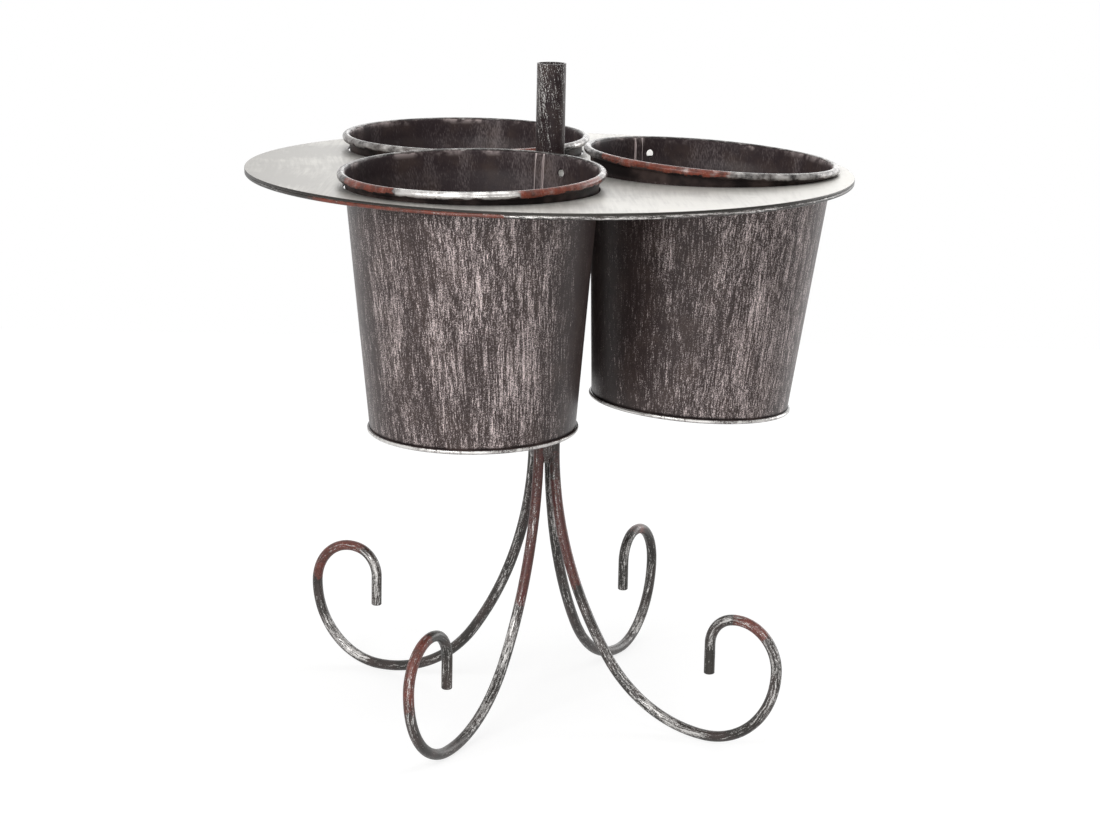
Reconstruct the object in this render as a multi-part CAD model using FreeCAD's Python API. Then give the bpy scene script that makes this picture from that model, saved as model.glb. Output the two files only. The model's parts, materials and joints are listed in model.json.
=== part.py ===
import FreeCAD, Part
import math
import os

# Plant stand: a round sheet tray on a screwed tube post with four scroll legs.
# Three tapered sheet-metal pots hang in the tray's holes and lift out.
# Millimetres and degrees. The origin is on the floor, on the post's axis, with +Z up.
# Azimuths are counted from +X towards +Y. -Y is the front.

# Post, in two screwed sections
post_diameter = 16.0
post_wall = 1.0
upper_post_length = 58.0
insert_length = 16.0
insert_chamfer = 0.8
insert_seat_step = 0.2
stud_diameter = 8.0
stud_chamfer = 0.8
stud_hole_clearance = 0.4

# Tray
tray_height = 307.3
tray_sheet = 1.5
tray_margin = 7.5
tray_ring_diameter = 2.2
tray_ring_joint = 0.8
tray_ring_joint_azimuth = 309.0
flange_diameter = 36.0
flange_thickness = 2.0
flange_chamfer = 0.6

# Legs, bent from round rod
rod_diameter = 6.0
leg_top_length = 13.0
leg_fall_radius = 193.0
leg_fall_angle = 37.0
leg_sweep_radius = 82.4
leg_rise_radius = 44.5
scroll_radius = 24.6
scroll_angle = 103.0
curl_radius = 16.1
tip_length = 17.0
tip_chamfer = 0.5
leg_rear_right_azimuth = 64.5
leg_rear_left_azimuth = 149.0
leg_front_left_azimuth = 244.0
leg_front_right_azimuth = 325.0
leg_azimuths = {
    "leg_rear_right": leg_rear_right_azimuth,
    "leg_rear_left": leg_rear_left_azimuth,
    "leg_front_left": leg_front_left_azimuth,
    "leg_front_right": leg_front_right_azimuth,
}

# Weld that ties the legs' tops to the base stud
hub_weld_length = 25.0
hub_weld_rise = 1.2
hub_weld_taper = 7.0
hub_arch_radius = 2.0
stud_foot_rise = 5.0

# Pots, of thin sheet rolled at the rim and seamed at the foot
pot_rim_diameter = 142.0
pot_height = 140.2
pot_foot_diameter = 113.4
pot_sheet = 0.8
bead_diameter = 4.4
bead_end_angle = -120.0
wire_clearance = 0.2
pot_gap = 12.5
pot_seat_clearance = 0.3
lap_seam_width = 5.0
hanging_hole_diameter = 4.8
hanging_hole_drop = 7.5
base_sheet = 0.7
base_recess = 1.5
base_recess_margin = 5.0
crimp_width = 1.4
crimp_clearance = 0.05

# Where each pot sits: azimuth round the post, lean, and how far its taper holds it off the tray
right_azimuth = 3.0
rear_azimuth = 123.0
front_azimuth = 243.0
pot_azimuths = {"pot_right": right_azimuth, "pot_rear": rear_azimuth, "pot_front": front_azimuth}
right_lean_angle = 3.6
rear_lean_angle = 0.9
front_lean_angle = 2.2
pot_lean_angles = {"pot_right": right_lean_angle, "pot_rear": rear_lean_angle, "pot_front": front_lean_angle}
right_lean_azimuth = 0.0
rear_lean_azimuth = 254.0
front_lean_azimuth = 246.0
pot_lean_azimuths = {
    "pot_right": right_lean_azimuth,
    "pot_rear": rear_lean_azimuth,
    "pot_front": front_lean_azimuth,
}
right_wedge_rise = 0.0
rear_wedge_rise = 3.9
front_wedge_rise = 2.0
pot_wedge_rises = {"pot_right": right_wedge_rise, "pot_rear": rear_wedge_rise, "pot_front": front_wedge_rise}

# Where each pot's hanging hole and seam lie round its own axis
right_hole_azimuth = 119.0
rear_hole_azimuth = 290.0
front_hole_azimuth = 45.0
pot_hole_azimuths = {
    "pot_right": right_hole_azimuth,
    "pot_rear": rear_hole_azimuth,
    "pot_front": front_hole_azimuth,
}
right_seam_azimuth = 126.0
rear_seam_azimuth = 300.0
front_seam_azimuth = 58.0
pot_seam_azimuths = {
    "pot_right": right_seam_azimuth,
    "pot_rear": rear_seam_azimuth,
    "pot_front": front_seam_azimuth,
}

# How far a cutting shape runs past what it cuts
overrun = 2.0

# Sizes worked out from the ones above
ORIGIN = FreeCAD.Vector(0, 0, 0)
UP = FreeCAD.Vector(0, 0, 1)
FULL_TURN = 360.0
SQUARE = 90.0

post_radius = post_diameter / 2
post_bore_radius = post_radius - post_wall
insert_radius = post_bore_radius + insert_seat_step
stud_radius = stud_diameter / 2
rod_radius = rod_diameter / 2
leg_start_radius = stud_radius + rod_radius

leg_fall_drop = leg_fall_radius * math.sin(math.radians(leg_fall_angle))
leg_sweep_drop = leg_sweep_radius * (1 - math.sin(math.radians(leg_fall_angle)))
hub_top = rod_radius + leg_sweep_drop + leg_fall_drop + leg_top_length
hub_bottom = hub_top - hub_weld_length
tray_underside = tray_height - tray_sheet
lower_post_top = tray_underside - flange_thickness
upper_post_top = tray_height + upper_post_length

bead_radius = bead_diameter / 2
bead_ring_radius = pot_rim_diameter / 2 - bead_radius
bead_height = pot_height - bead_radius
curl_bore_radius = bead_radius - pot_sheet
pot_foot_radius = pot_foot_diameter / 2
pot_half_spacing = math.radians(FULL_TURN / len(pot_azimuths) / 2)
pot_ring_radius = (pot_rim_diameter + pot_gap) / 2 / math.sin(pot_half_spacing)
tray_radius = pot_ring_radius + pot_rim_diameter / 2 + tray_margin
crimp_height = base_sheet * 2 + pot_sheet + crimp_clearance * 2
wall_foot_radius = pot_foot_radius - crimp_width


def export(name, shape):
    """Writes one node."""
    shape.exportStep(os.path.join("parts", name + ".step"))


def outward(azimuth, radius, height):
    """The point at a radius and azimuth round the post's axis."""
    angle = math.radians(azimuth)
    return FreeCAD.Vector(radius * math.cos(angle), radius * math.sin(angle), height)


def turned(shape, azimuth):
    """The shape turned about the vertical axis."""
    copy = shape.copy()
    copy.rotate(ORIGIN, UP, azimuth)
    return copy


def cylinder(radius, low, high):
    """An upright cylinder on the axis."""
    return Part.makeCylinder(radius, high - low, FreeCAD.Vector(0, 0, low))


def section_point(radius, height):
    """A point of a turned piece's section."""
    return FreeCAD.Vector(radius, 0, height)


def section_wire(points):
    """A closed straight-sided section through (radius, height) points."""
    corners = [section_point(radius, height) for radius, height in points]
    return Part.makePolygon(corners + corners[:1])


def revolved(wire, angle=FULL_TURN):
    """The solid that a section sweeps about the axis."""
    return Part.Face(wire).revolve(ORIGIN, UP, angle)


def chamfered_rod(radius, low, high, chamfer):
    """A round bar with both ends chamfered."""
    section = [
        (0, low),
        (radius - chamfer, low),
        (radius, low + chamfer),
        (radius, high - chamfer),
        (radius - chamfer, high),
        (0, high),
    ]
    return revolved(section_wire(section))


def make_post(low, high):
    """A length of the post's tube, reamed at its foot to seat a threaded plug."""
    bore = cylinder(post_bore_radius, low - overrun, high + overrun)
    seat = cylinder(insert_radius, low - overrun, low + insert_length)
    return cylinder(post_radius, low, high).cut(bore).cut(seat)


def make_lower_post():
    """The tube from the legs up to the tray's flange, with a plug's seat at each end."""
    seat = cylinder(insert_radius, lower_post_top - insert_length, lower_post_top + overrun)
    return make_post(hub_top, lower_post_top).cut(seat)


def make_insert(low):
    """A threaded plug welded into a tube's end, shown with a plain bore."""
    plug = chamfered_rod(insert_radius, low, low + insert_length, insert_chamfer)
    bore = cylinder(stud_radius, low - overrun, low + insert_length + overrun)
    return plug.cut(bore)


def make_inserts():
    """The plugs at the lower post's two ends and at the upper post's foot."""
    lows = (hub_top, lower_post_top - insert_length, tray_height)
    return Part.makeCompound([make_insert(low) for low in lows])


def make_base_stud():
    """The stud that the legs are welded to and the lower post screws onto."""
    return chamfered_rod(stud_radius, hub_bottom + stud_foot_rise, hub_top + insert_length, stud_chamfer)


def make_tray_stud():
    """The stud that clamps the tray between the post's two sections."""
    low = lower_post_top - insert_length
    return chamfered_rod(stud_radius, low, tray_height + insert_length, stud_chamfer)


def make_flange():
    """The round plate on top of the lower post that carries the tray."""
    radius = flange_diameter / 2
    bore = stud_radius + stud_hole_clearance
    section = [
        (bore, lower_post_top),
        (radius - flange_chamfer, lower_post_top),
        (radius, lower_post_top + flange_chamfer),
        (radius, tray_underside),
        (bore, tray_underside),
    ]
    return revolved(section_wire(section))


def arc_step(point, heading, radius, turn):
    """An arc that leaves a point along a heading and turns upward: its edge, end point and end heading."""

    def place(swept):
        angle = math.radians(heading + swept)
        start = math.radians(heading)
        across = radius * (math.sin(angle) - math.sin(start))
        rise = radius * (math.cos(start) - math.cos(angle))
        return point + FreeCAD.Vector(across, 0, rise)

    edge = Part.Arc(point, place(turn / 2), place(turn)).toShape()
    return edge, place(turn), heading + turn


def leg_path():
    """The rod's centre line in the XZ plane: down, outward, up, then over into the scroll."""
    top = FreeCAD.Vector(leg_start_radius, 0, hub_top)
    point = top - UP * leg_top_length
    heading = -SQUARE
    edges = [Part.LineSegment(top, point).toShape()]
    bends = [
        (leg_fall_radius, leg_fall_angle),
        (leg_sweep_radius, SQUARE - leg_fall_angle),
        (leg_rise_radius, SQUARE),
        (scroll_radius, scroll_angle),
        (curl_radius, SQUARE * 2 - scroll_angle),
    ]
    for radius, turn in bends:
        edge, point, heading = arc_step(point, heading, radius, turn)
        edges.append(edge)
    end = point - UP * (tip_length - tip_chamfer)
    edges.append(Part.LineSegment(point, end).toShape())
    return edges, end


def make_leg(azimuth):
    """One scroll leg: a round rod swept along its path, with the cut tip chamfered."""
    edges, end = leg_path()
    path = Part.Wire(edges)
    start = FreeCAD.Vector(leg_start_radius, 0, hub_top)
    section = Part.Wire([Part.makeCircle(rod_radius, start, UP)])
    rod = path.makePipeShell([section], True, False)
    tip = Part.makeCone(rod_radius, rod_radius - tip_chamfer, tip_chamfer, end, UP * -1)
    return turned(rod.fuse(tip).removeSplitter(), azimuth)


def make_hub_weld(legs):
    """The weld metal between the legs' tops, arched where it ends below."""
    radius = leg_start_radius + hub_weld_rise
    section = [
        (0, hub_bottom),
        (stud_radius, hub_bottom),
        (radius, hub_bottom + hub_weld_taper),
        (radius, hub_top),
        (0, hub_top),
    ]
    weld = revolved(section_wire(section))
    azimuths = sorted(leg_azimuths.values())
    for first, second in zip(azimuths, azimuths[1:] + [azimuths[0] + FULL_TURN]):
        middle = (first + second) / 2
        low = outward(middle, 0, hub_bottom)
        along = outward(middle, 1, 0)
        weld = weld.cut(Part.makeCylinder(hub_arch_radius, radius + overrun, low, along))
    core = cylinder(stud_radius, hub_bottom - overrun, hub_top + overrun)
    return weld.cut(core).cut(Part.makeCompound(legs))


def pot_axis(pot):
    """The direction in which a leaning pot points."""
    lean = math.radians(pot_lean_angles[pot])
    return outward(pot_lean_azimuths[pot], math.sin(lean), math.cos(lean))


def pot_rim_rise(pot):
    """How far along the pot's axis its bead's centre stands above the tray's top."""
    lean = math.radians(pot_lean_angles[pot])
    low_side = bead_ring_radius * math.sin(lean)
    rise = bead_radius + pot_seat_clearance + low_side + pot_wedge_rises[pot]
    return rise / math.cos(lean)


def wall_taper():
    """The wall's slope from upright, in radians, tangent to the inside of the rolled bead."""
    across = bead_ring_radius - wall_foot_radius
    rise = bead_height - crimp_height
    return math.atan2(across, rise) - math.asin(curl_bore_radius / math.hypot(across, rise))


def wall_radius(height):
    """The wall's outer radius at a height above the pot's foot."""
    return wall_foot_radius + (height - crimp_height) * math.tan(wall_taper())


def wall_inner_radius(height):
    """The wall's inner radius at a height above the pot's foot."""
    return wall_radius(height) - pot_sheet / math.cos(wall_taper())


def tray_hole_radius():
    """The smallest hole that clears every pot's wall, leaning as it hangs."""
    reaches = []
    for pot in pot_azimuths:
        lean = math.radians(pot_lean_angles[pot])
        radius = wall_radius(bead_height - pot_rim_rise(pot))
        spread = math.cos(lean) - math.sin(lean) * math.tan(wall_taper())
        reaches.append(radius / spread)
    return max(reaches) + pot_seat_clearance


def make_tray():
    """The round sheet with the pots' holes and the stud's hole."""
    tray = cylinder(tray_radius, tray_underside, tray_height)
    low = tray_underside - overrun
    depth = tray_sheet + overrun * 2
    for azimuth in pot_azimuths.values():
        centre = outward(azimuth, pot_ring_radius, low)
        tray = tray.cut(Part.makeCylinder(tray_hole_radius(), depth, centre))
    return tray.cut(cylinder(stud_radius + stud_hole_clearance, low, low + depth))


def make_tray_ring():
    """The wire ring under the tray's edge, with its two ends butted at the joint."""
    ring_radius = tray_ring_diameter / 2
    circle_radius = tray_radius - ring_radius
    centre = section_point(circle_radius, tray_underside - ring_radius)
    circle = Part.makeCircle(ring_radius, centre, FreeCAD.Vector(0, 1, 0))
    joint_angle = math.degrees(tray_ring_joint / circle_radius)
    ring = revolved(Part.Wire([circle]), FULL_TURN - joint_angle)
    return turned(ring, tray_ring_joint_azimuth + joint_angle / 2)


def bead_point(radius, angle):
    """A point of the rolled bead's section, at an angle round its centre."""
    turn = math.radians(angle)
    return section_point(bead_ring_radius + radius * math.cos(turn), bead_height + radius * math.sin(turn))


def bead_arc(radius, first, last):
    """An arc of the bead's section between two angles."""
    middle = (first + last) / 2
    return Part.Arc(bead_point(radius, first), bead_point(radius, middle), bead_point(radius, last)).toShape()


def curl_angles():
    """Where the rim's curl leaves the wall, and its middle, as angles round the bead's centre."""
    start = SQUARE * 2 - math.degrees(wall_taper())
    return start, (start + bead_end_angle) / 2


def wall_section():
    """The wall's section: foot flange, tapered side, and the rim curled outward and down."""
    flange_low = base_sheet + crimp_clearance
    flange_high = flange_low + pot_sheet
    flange_radius = pot_foot_radius - base_sheet - crimp_clearance
    curl_start, curl_middle = curl_angles()
    side_start = section_point(wall_radius(flange_high), flange_high)
    foot = [
        bead_point(bead_radius, curl_start),
        section_point(wall_inner_radius(flange_low), flange_low),
        section_point(flange_radius, flange_low),
        section_point(flange_radius, flange_high),
        side_start,
        bead_point(curl_bore_radius, curl_start),
    ]
    edges = [Part.LineSegment(a, b).toShape() for a, b in zip(foot, foot[1:])]
    edges.append(bead_arc(curl_bore_radius, curl_start, curl_middle))
    edges.append(bead_arc(curl_bore_radius, curl_middle, bead_end_angle))
    lip = (bead_point(curl_bore_radius, bead_end_angle), bead_point(bead_radius, bead_end_angle))
    edges.append(Part.LineSegment(*lip).toShape())
    edges.append(bead_arc(bead_radius, bead_end_angle, curl_middle))
    edges.append(bead_arc(bead_radius, curl_middle, curl_start))
    return Part.Wire(edges)


def make_lap_seam():
    """The strip where the wall's two edges overlap, on the inside."""
    low = base_recess + base_sheet + crimp_height
    high = bead_height
    half_sheet = pot_sheet / 2
    section = [
        (wall_inner_radius(low) - pot_sheet, low),
        (wall_inner_radius(low) + half_sheet, low),
        (wall_inner_radius(high) + half_sheet, high),
        (wall_inner_radius(high) - pot_sheet, high),
    ]
    angle = math.degrees(lap_seam_width / wall_foot_radius)
    return turned(revolved(section_wire(section), angle), -angle / 2)


def make_pot_wall(pot):
    """A pot's tapered wall with its rolled bead, lap seam and hanging hole."""
    wall = revolved(wall_section()).fuse(turned(make_lap_seam(), pot_seam_azimuths[pot]))
    height = bead_height - hanging_hole_drop
    start = outward(pot_hole_azimuths[pot], wall_inner_radius(height) - overrun, height)
    along = outward(pot_hole_azimuths[pot], 1, 0)
    reach = pot_sheet + overrun * 2
    return wall.cut(Part.makeCylinder(hanging_hole_diameter / 2, reach, start, along))


def make_pot_base():
    """A pot's bottom: a recessed disc whose edge folds over the wall's foot flange."""
    flat = wall_foot_radius - base_recess_margin
    slope = flat + base_recess
    fold = wall_foot_radius + crimp_clearance
    fold_low = crimp_height - base_sheet
    section = [
        (0, base_recess),
        (flat, base_recess),
        (slope, 0),
        (pot_foot_radius, 0),
        (pot_foot_radius, crimp_height),
        (fold, crimp_height),
        (fold, fold_low),
        (pot_foot_radius - base_sheet, fold_low),
        (pot_foot_radius - base_sheet, base_sheet),
        (slope, base_sheet),
        (flat, base_recess + base_sheet),
        (0, base_recess + base_sheet),
    ]
    return revolved(section_wire(section))


def make_rim_wire():
    """The wire that the rim's bead is rolled round."""
    radius = curl_bore_radius - wire_clearance
    start, middle = curl_angles()
    arcs = [bead_arc(radius, start, middle), bead_arc(radius, middle, bead_end_angle)]
    arcs.append(bead_arc(radius, bead_end_angle, start - FULL_TURN))
    return revolved(Part.Wire(arcs))


def hung(shape, pot):
    """A pot's piece moved from the pot's own frame to where the pot hangs in the tray."""
    axis = pot_axis(pot)
    seat = outward(pot_azimuths[pot], pot_ring_radius, tray_height)
    foot = seat + axis * (pot_rim_rise(pot) - bead_height)
    copy = shape.copy()
    copy.Placement = FreeCAD.Placement(foot, FreeCAD.Rotation(UP, axis))
    return copy


def export_stand():
    """The fixed pieces: post, tray and legs."""
    export("lower_post", make_lower_post())
    export("upper_post", make_post(tray_height, upper_post_top))
    export("post_inserts", make_inserts())
    export("tray_flange", make_flange())
    export("tray_stud", make_tray_stud())
    export("tray", make_tray())
    export("tray_edge_ring", make_tray_ring())
    export("base_stud", make_base_stud())
    legs = [make_leg(azimuth) for azimuth in leg_azimuths.values()]
    for name, leg in zip(leg_azimuths, legs):
        export(name, leg)
    export("hub_weld", make_hub_weld(legs))


def export_pots():
    """The three pots, each of a wall, a base and the wire in its rim."""
    for pot in pot_azimuths:
        export(pot + "_wall", hung(make_pot_wall(pot), pot))
        export(pot + "_base", hung(make_pot_base(), pot))
        export(pot + "_rim_wire", hung(make_rim_wire(), pot))


export_stand()
export_pots()
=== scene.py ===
import json
import math

import bmesh
import bpy
import numpy as np
from mathutils import Matrix, Vector


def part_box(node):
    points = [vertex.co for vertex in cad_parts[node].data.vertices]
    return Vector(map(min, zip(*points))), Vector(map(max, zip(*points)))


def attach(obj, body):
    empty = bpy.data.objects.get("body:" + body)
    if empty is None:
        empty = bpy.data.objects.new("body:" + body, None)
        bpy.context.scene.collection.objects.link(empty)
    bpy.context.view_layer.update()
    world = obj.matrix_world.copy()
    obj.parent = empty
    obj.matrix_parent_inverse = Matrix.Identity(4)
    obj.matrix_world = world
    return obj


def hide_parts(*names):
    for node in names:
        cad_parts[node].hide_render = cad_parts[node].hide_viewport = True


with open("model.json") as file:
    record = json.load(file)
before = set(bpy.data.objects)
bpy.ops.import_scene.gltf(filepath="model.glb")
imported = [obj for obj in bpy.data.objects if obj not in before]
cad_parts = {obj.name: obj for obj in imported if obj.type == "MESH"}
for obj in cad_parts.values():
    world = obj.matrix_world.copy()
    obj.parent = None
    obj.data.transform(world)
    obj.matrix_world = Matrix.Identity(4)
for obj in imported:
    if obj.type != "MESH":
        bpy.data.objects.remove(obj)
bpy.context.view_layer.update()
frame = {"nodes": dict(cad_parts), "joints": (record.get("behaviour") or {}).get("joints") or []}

# Plant stand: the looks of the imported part. Metres, in the part's own frame.
# Pot walls and bottoms, legs, tray and edge ring get meshes of their own.
# Posts, flange, weld, studs, plugs and rim wires keep their CAD meshes.
MM = 0.001
FULL_TURN = 2 * math.pi
DEGREES = 360.0

# Pot section, in the pot's own frame with its foot at zero
BEAD_CENTRE_RADIUS = 68.8 * MM
BEAD_CENTRE_HEIGHT = 138.0 * MM
BEAD_RADIUS = 2.2 * MM
CURL_BORE = 1.4 * MM
CURL_END = math.radians(-120.0)
SHEET = 0.8 * MM
FOOT_RADIUS = 56.7 * MM
WALL_FOOT_RADIUS = 55.3 * MM
CRIMP_HEIGHT = 2.3 * MM
WALL_LOW = 0.85 * MM
HOLE_RADIUS = 2.4 * MM
HOLE_DROP = 7.5 * MM
HOLE_CUT_REACH = 6.0 * MM
SEAM_WIDTH = 5.0 * MM
SEAM_LOW = 4.5 * MM
SEAM_STEP_ANGLE = 0.0012

# Pot bottom: (radius, height) of its underside, and of its inside from the rolled seam back to the middle
BASE_UNDERSIDE = ((50.0 * MM, 1.5 * MM), (51.2 * MM, 1.0 * MM), (52.0 * MM, 0.2 * MM), (53.0 * MM, 0.0))
BASE_INSIDE = (
    (55.45 * MM, CRIMP_HEIGHT - 0.1 * MM),
    (55.4 * MM, 1.9 * MM),
    (55.9 * MM, 1.6 * MM),
    (55.9 * MM, 0.72 * MM),
    (52.6 * MM, 0.72 * MM),
    (51.6 * MM, 1.4 * MM),
    (50.3 * MM, 2.2 * MM),
)

# Hand-made unevenness of the pots: sizes of the waves, and how many of them go round
WALL_WAVE = 0.12 * MM
WALL_WAVE_LOBES = (2, 3, 5)
WALL_BELLY = 0.14 * MM
WALL_BELLY_LOBES = (4, 7)
BEAD_SWELL_SHARE = 0.03
BEAD_SWELL_LOBES = (11, 17, 23)

# Legs, as arcs of (radius, turn in degrees) after a straight top
ROD_RADIUS = 3.0 * MM
LEG_START_RADIUS = 7.0 * MM
LEG_TOP_LENGTH = 13.0 * MM
LEG_BENDS = ((193.0 * MM, 37.0), (82.4 * MM, 53.0), (44.5 * MM, 90.0), (24.6 * MM, 103.0), (16.1 * MM, 77.0))
LEG_TIP_LENGTH = 17.0 * MM
LEG_TIP_CHAMFER = 0.5 * MM
LEG_STEP = 1.4 * MM
LEG_SHAKE = 0.08 * MM
LEG_SHAKE_SPAN = 9

# Tray and its edge ring
TRAY_RADIUS = 167.65 * MM
TRAY_SHEET = 1.5 * MM
TRAY_EDGE = 0.25 * MM
TRAY_HOLE_RADIUS = 67.6 * MM
POT_RING_RADIUS = 89.2 * MM
STUD_HOLE_RADIUS = 4.4 * MM
RING_RADIUS = 1.1 * MM
RING_JOINT = math.radians(309.0)
RING_BURR_WIDTH = 1.6 * MM
RING_BURR_SHARE = 0.5
RING_WAVE_SHARE = 0.02
RING_WAVE_LOBES = (19, 31, 47)
RING_WAVE_SEED = 3.0
RING_PAINT_SEED = 7.3

# Upper post: plain dark below the first height, well brushed above the second
POST_PLAIN_HEIGHT = 328.0 * MM
POST_BRUSHED_HEIGHT = 348.0 * MM

# Fineness of the meshes
WALL_ROWS = 46
WALL_SIDES = 288
BEAD_STEPS = 30
BORE_STEPS = 14
HOLE_SIDES = 40
BASE_SIDES = 256
CRIMP_STEPS = 12
ROD_SIDES = 28
LEG_TOP_STEPS = 8
LEG_LEAST_STEPS = 10
LEG_TIP_STEPS = 10
RING_COUNT = 480
RING_SIDES = 18
TRAY_CURVE_STEPS = 72
TRAY_EDGE_STEPS = 2
FLAT_NORMAL = 0.999
SHARP_ANGLE = 40.0
BASE_SHARP_ANGLE = 50.0

# Azimuths in degrees, as the photo shows them
POTS = ("pot_right", "pot_rear", "pot_front")
POT_AZIMUTH = {"pot_right": 3.0, "pot_rear": 123.0, "pot_front": 243.0}
HOLE_AZIMUTH = {"pot_right": 119.0, "pot_rear": 290.0, "pot_front": 45.0}
SEAM_AZIMUTH = {"pot_right": 126.0, "pot_rear": 300.0, "pot_front": 58.0}
LEG_AZIMUTH = {
    "leg_rear_right": 64.5,
    "leg_rear_left": 149.0,
    "leg_front_left": 244.0,
    "leg_front_right": 325.0,
}

# Colours, linear
# Painted shade: the black of the bands under the pot rims and just above their feet
PAINTED_SHADE_BLACK = (0.012, 0.009, 0.009, 1.0)
DARK = (0.040, 0.028, 0.027, 1.0)
BROWN = (0.062, 0.044, 0.040, 1.0)
OLIVE = (0.022, 0.019, 0.016, 1.0)
POST_DARK = (0.020, 0.012, 0.013, 1.0)
INSIDE_DARK = (0.036, 0.026, 0.028, 1.0)
SILVER = (0.78, 0.665, 0.65, 1.0)
BRIGHT_SILVER = (0.70, 0.68, 0.66, 1.0)
RIM_GREY = (0.50, 0.47, 0.45, 1.0)
COPPER = (0.18, 0.039, 0.022, 1.0)
COPPER_DARK = (0.075, 0.028, 0.021, 1.0)
ORANGE = (0.26, 0.10, 0.06, 1.0)
LEG_RED = (0.15, 0.040, 0.030, 1.0)
BURGUNDY = (0.095, 0.024, 0.022, 1.0)
STEEL = (0.42, 0.42, 0.43, 1.0)
STEEL_DULL = (0.33, 0.33, 0.34, 1.0)
# Tray greys kept light to stand in partly for the sheen the white surroundings give the satin tray at a low
# angle: painted sheen
TRAY_PALE_AND_SHEEN = (0.55, 0.535, 0.50, 1.0)
TRAY_DULL = (0.36, 0.347, 0.325, 1.0)
WORLD_WHITE = (1.0, 1.0, 1.0, 1.0)
WORLD_PLAIN = (1.0, 0.99, 0.975, 1.0)
FLOOR_PALE = (0.5, 0.5, 0.5, 1.0)
FLOOR_SHADED = (0.3, 0.3, 0.3, 1.0)

# Brush marks in layers: weight, fibres per metre, stretch along the stroke, and which slant it takes
BRUSH_LAYERS = (
    (1.1, 1400.0, 0.018, 0),
    (0.6, 1800.0, 0.10, 1),
    (0.6, 1500.0, 0.05, 2),
    (0.7, 300.0, 0.04, 0),
)
GRAIN_SCALE = 2300.0
GRAIN_STRETCH = 0.7
SLANT_SHIFT_SHARES = (0.37, 0.11, 0.53)
PAINT_BUMP = 0.2 * MM

# Pot paint: where the rim's paint ends, where the wall's silver fades out, and the bands of painted shade
# under the rim and just above the foot
RIM_EDGE_START = BEAD_CENTRE_HEIGHT + 1.6 * MM
RIM_EDGE_FULL = BEAD_CENTRE_HEIGHT + 2.2 * MM
RIM_RAGGED = 6.0 * MM
RIM_HELD_BACK = 3.0 * MM
RIM_INNER_SIDE = (0.2 * MM, 1.8 * MM)
# Silver only on the bead's upper half: partly dry-brush catching the top, partly painted shade on the bead's
# underside
RIM_TOP_SILVER_AND_SHADE = (BEAD_CENTRE_HEIGHT - 2.2 * MM, BEAD_CENTRE_HEIGHT - 0.2 * MM)
# Painted shade bands: heights below the bead centre, then above the foot, over which the wall turns from
# black to its paint
PAINTED_SHADE_BELOW_RIM = (7.0 * MM, 11.5 * MM)
PAINTED_SHADE_AT_FOOT = (2.6 * MM, 4.0 * MM)
DRIP_FADE = (2.2 * MM, -1.0 * MM)
WALL_SKIN = 0.1 * MM
WALL_SWAY = 7.0 * MM
CROSS_SLANT = -1.9
SEAM_LINE_FADE = (0.7 * MM, 0.3 * MM)
SEAM_SIDE_FADE = 1.0 * MM
FOOT_SILVER = (FOOT_RADIUS - 0.6 * MM, FOOT_RADIUS - 0.1 * MM)

# Sway of the strokes and raggedness of the patches on the other pieces
ROD_SWAY = 1.5 * MM
ROD_RAGGED = 14.0 * MM
CAD_SWAY = 3.0 * MM
TRAY_SWAY = 30.0 * MM
TRAY_BUMP = 0.5 * MM

# Silver and red along each leg: (millimetres from its top, level)
LEG_LENGTH = 367.0
LEG_SILVER = {
    "leg_front_left": [
        (0, 0.25), (100, 0.2), (118, 0.85), (190, 0.9), (208, 0.4), (240, 0.25),
        (262, 0.5), (285, 0.3), (318, 0.35), (335, 0.55), (350, 0.3), (366, 0.3),
    ],
    "leg_front_right": [
        (0, 0.3), (100, 0.15), (135, 0.55), (200, 0.85), (214, 0.75), (222, 0.15), (240, 0.7),
        (292, 0.7), (306, 0.45), (330, 0.8), (348, 0.6), (358, 0.1), (366, 0.1),
    ],
    "leg_rear_left": [
        (0, 0.4), (120, 0.4), (190, 0.35), (205, 0.2), (216, 0.1), (224, 0.95),
        (255, 0.85), (268, 0.35), (290, 0.2), (328, 0.25), (338, 0.7), (366, 0.7),
    ],
    "leg_rear_right": [
        (0, 0.45), (130, 0.55), (200, 0.5), (235, 0.8), (262, 0.5), (300, 0.35), (330, 0.5), (366, 0.45),
    ],
}
LEG_COPPER = {
    "leg_front_left": [
        (0, 0.3), (20, 0.6), (30, 1.0), (102, 1.0), (108, 0.0),
        (268, 0.0), (280, 1.0), (316, 1.0), (322, 0.0), (366, 0.0),
    ],
    "leg_front_right": [
        (0, 0.2), (30, 0.5), (50, 1.0), (92, 1.0), (98, 0.0),
        (296, 0.0), (308, 0.8), (322, 0.8), (328, 0.0), (366, 0.0),
    ],
    "leg_rear_left": [(0, 0.0), (280, 0.0), (292, 0.9), (328, 0.9), (336, 0.0), (366, 0.0)],
    "leg_rear_right": [(0, 0.0), (308, 0.0), (316, 0.6), (326, 0.6), (334, 0.0), (366, 0.0)],
}

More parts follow.
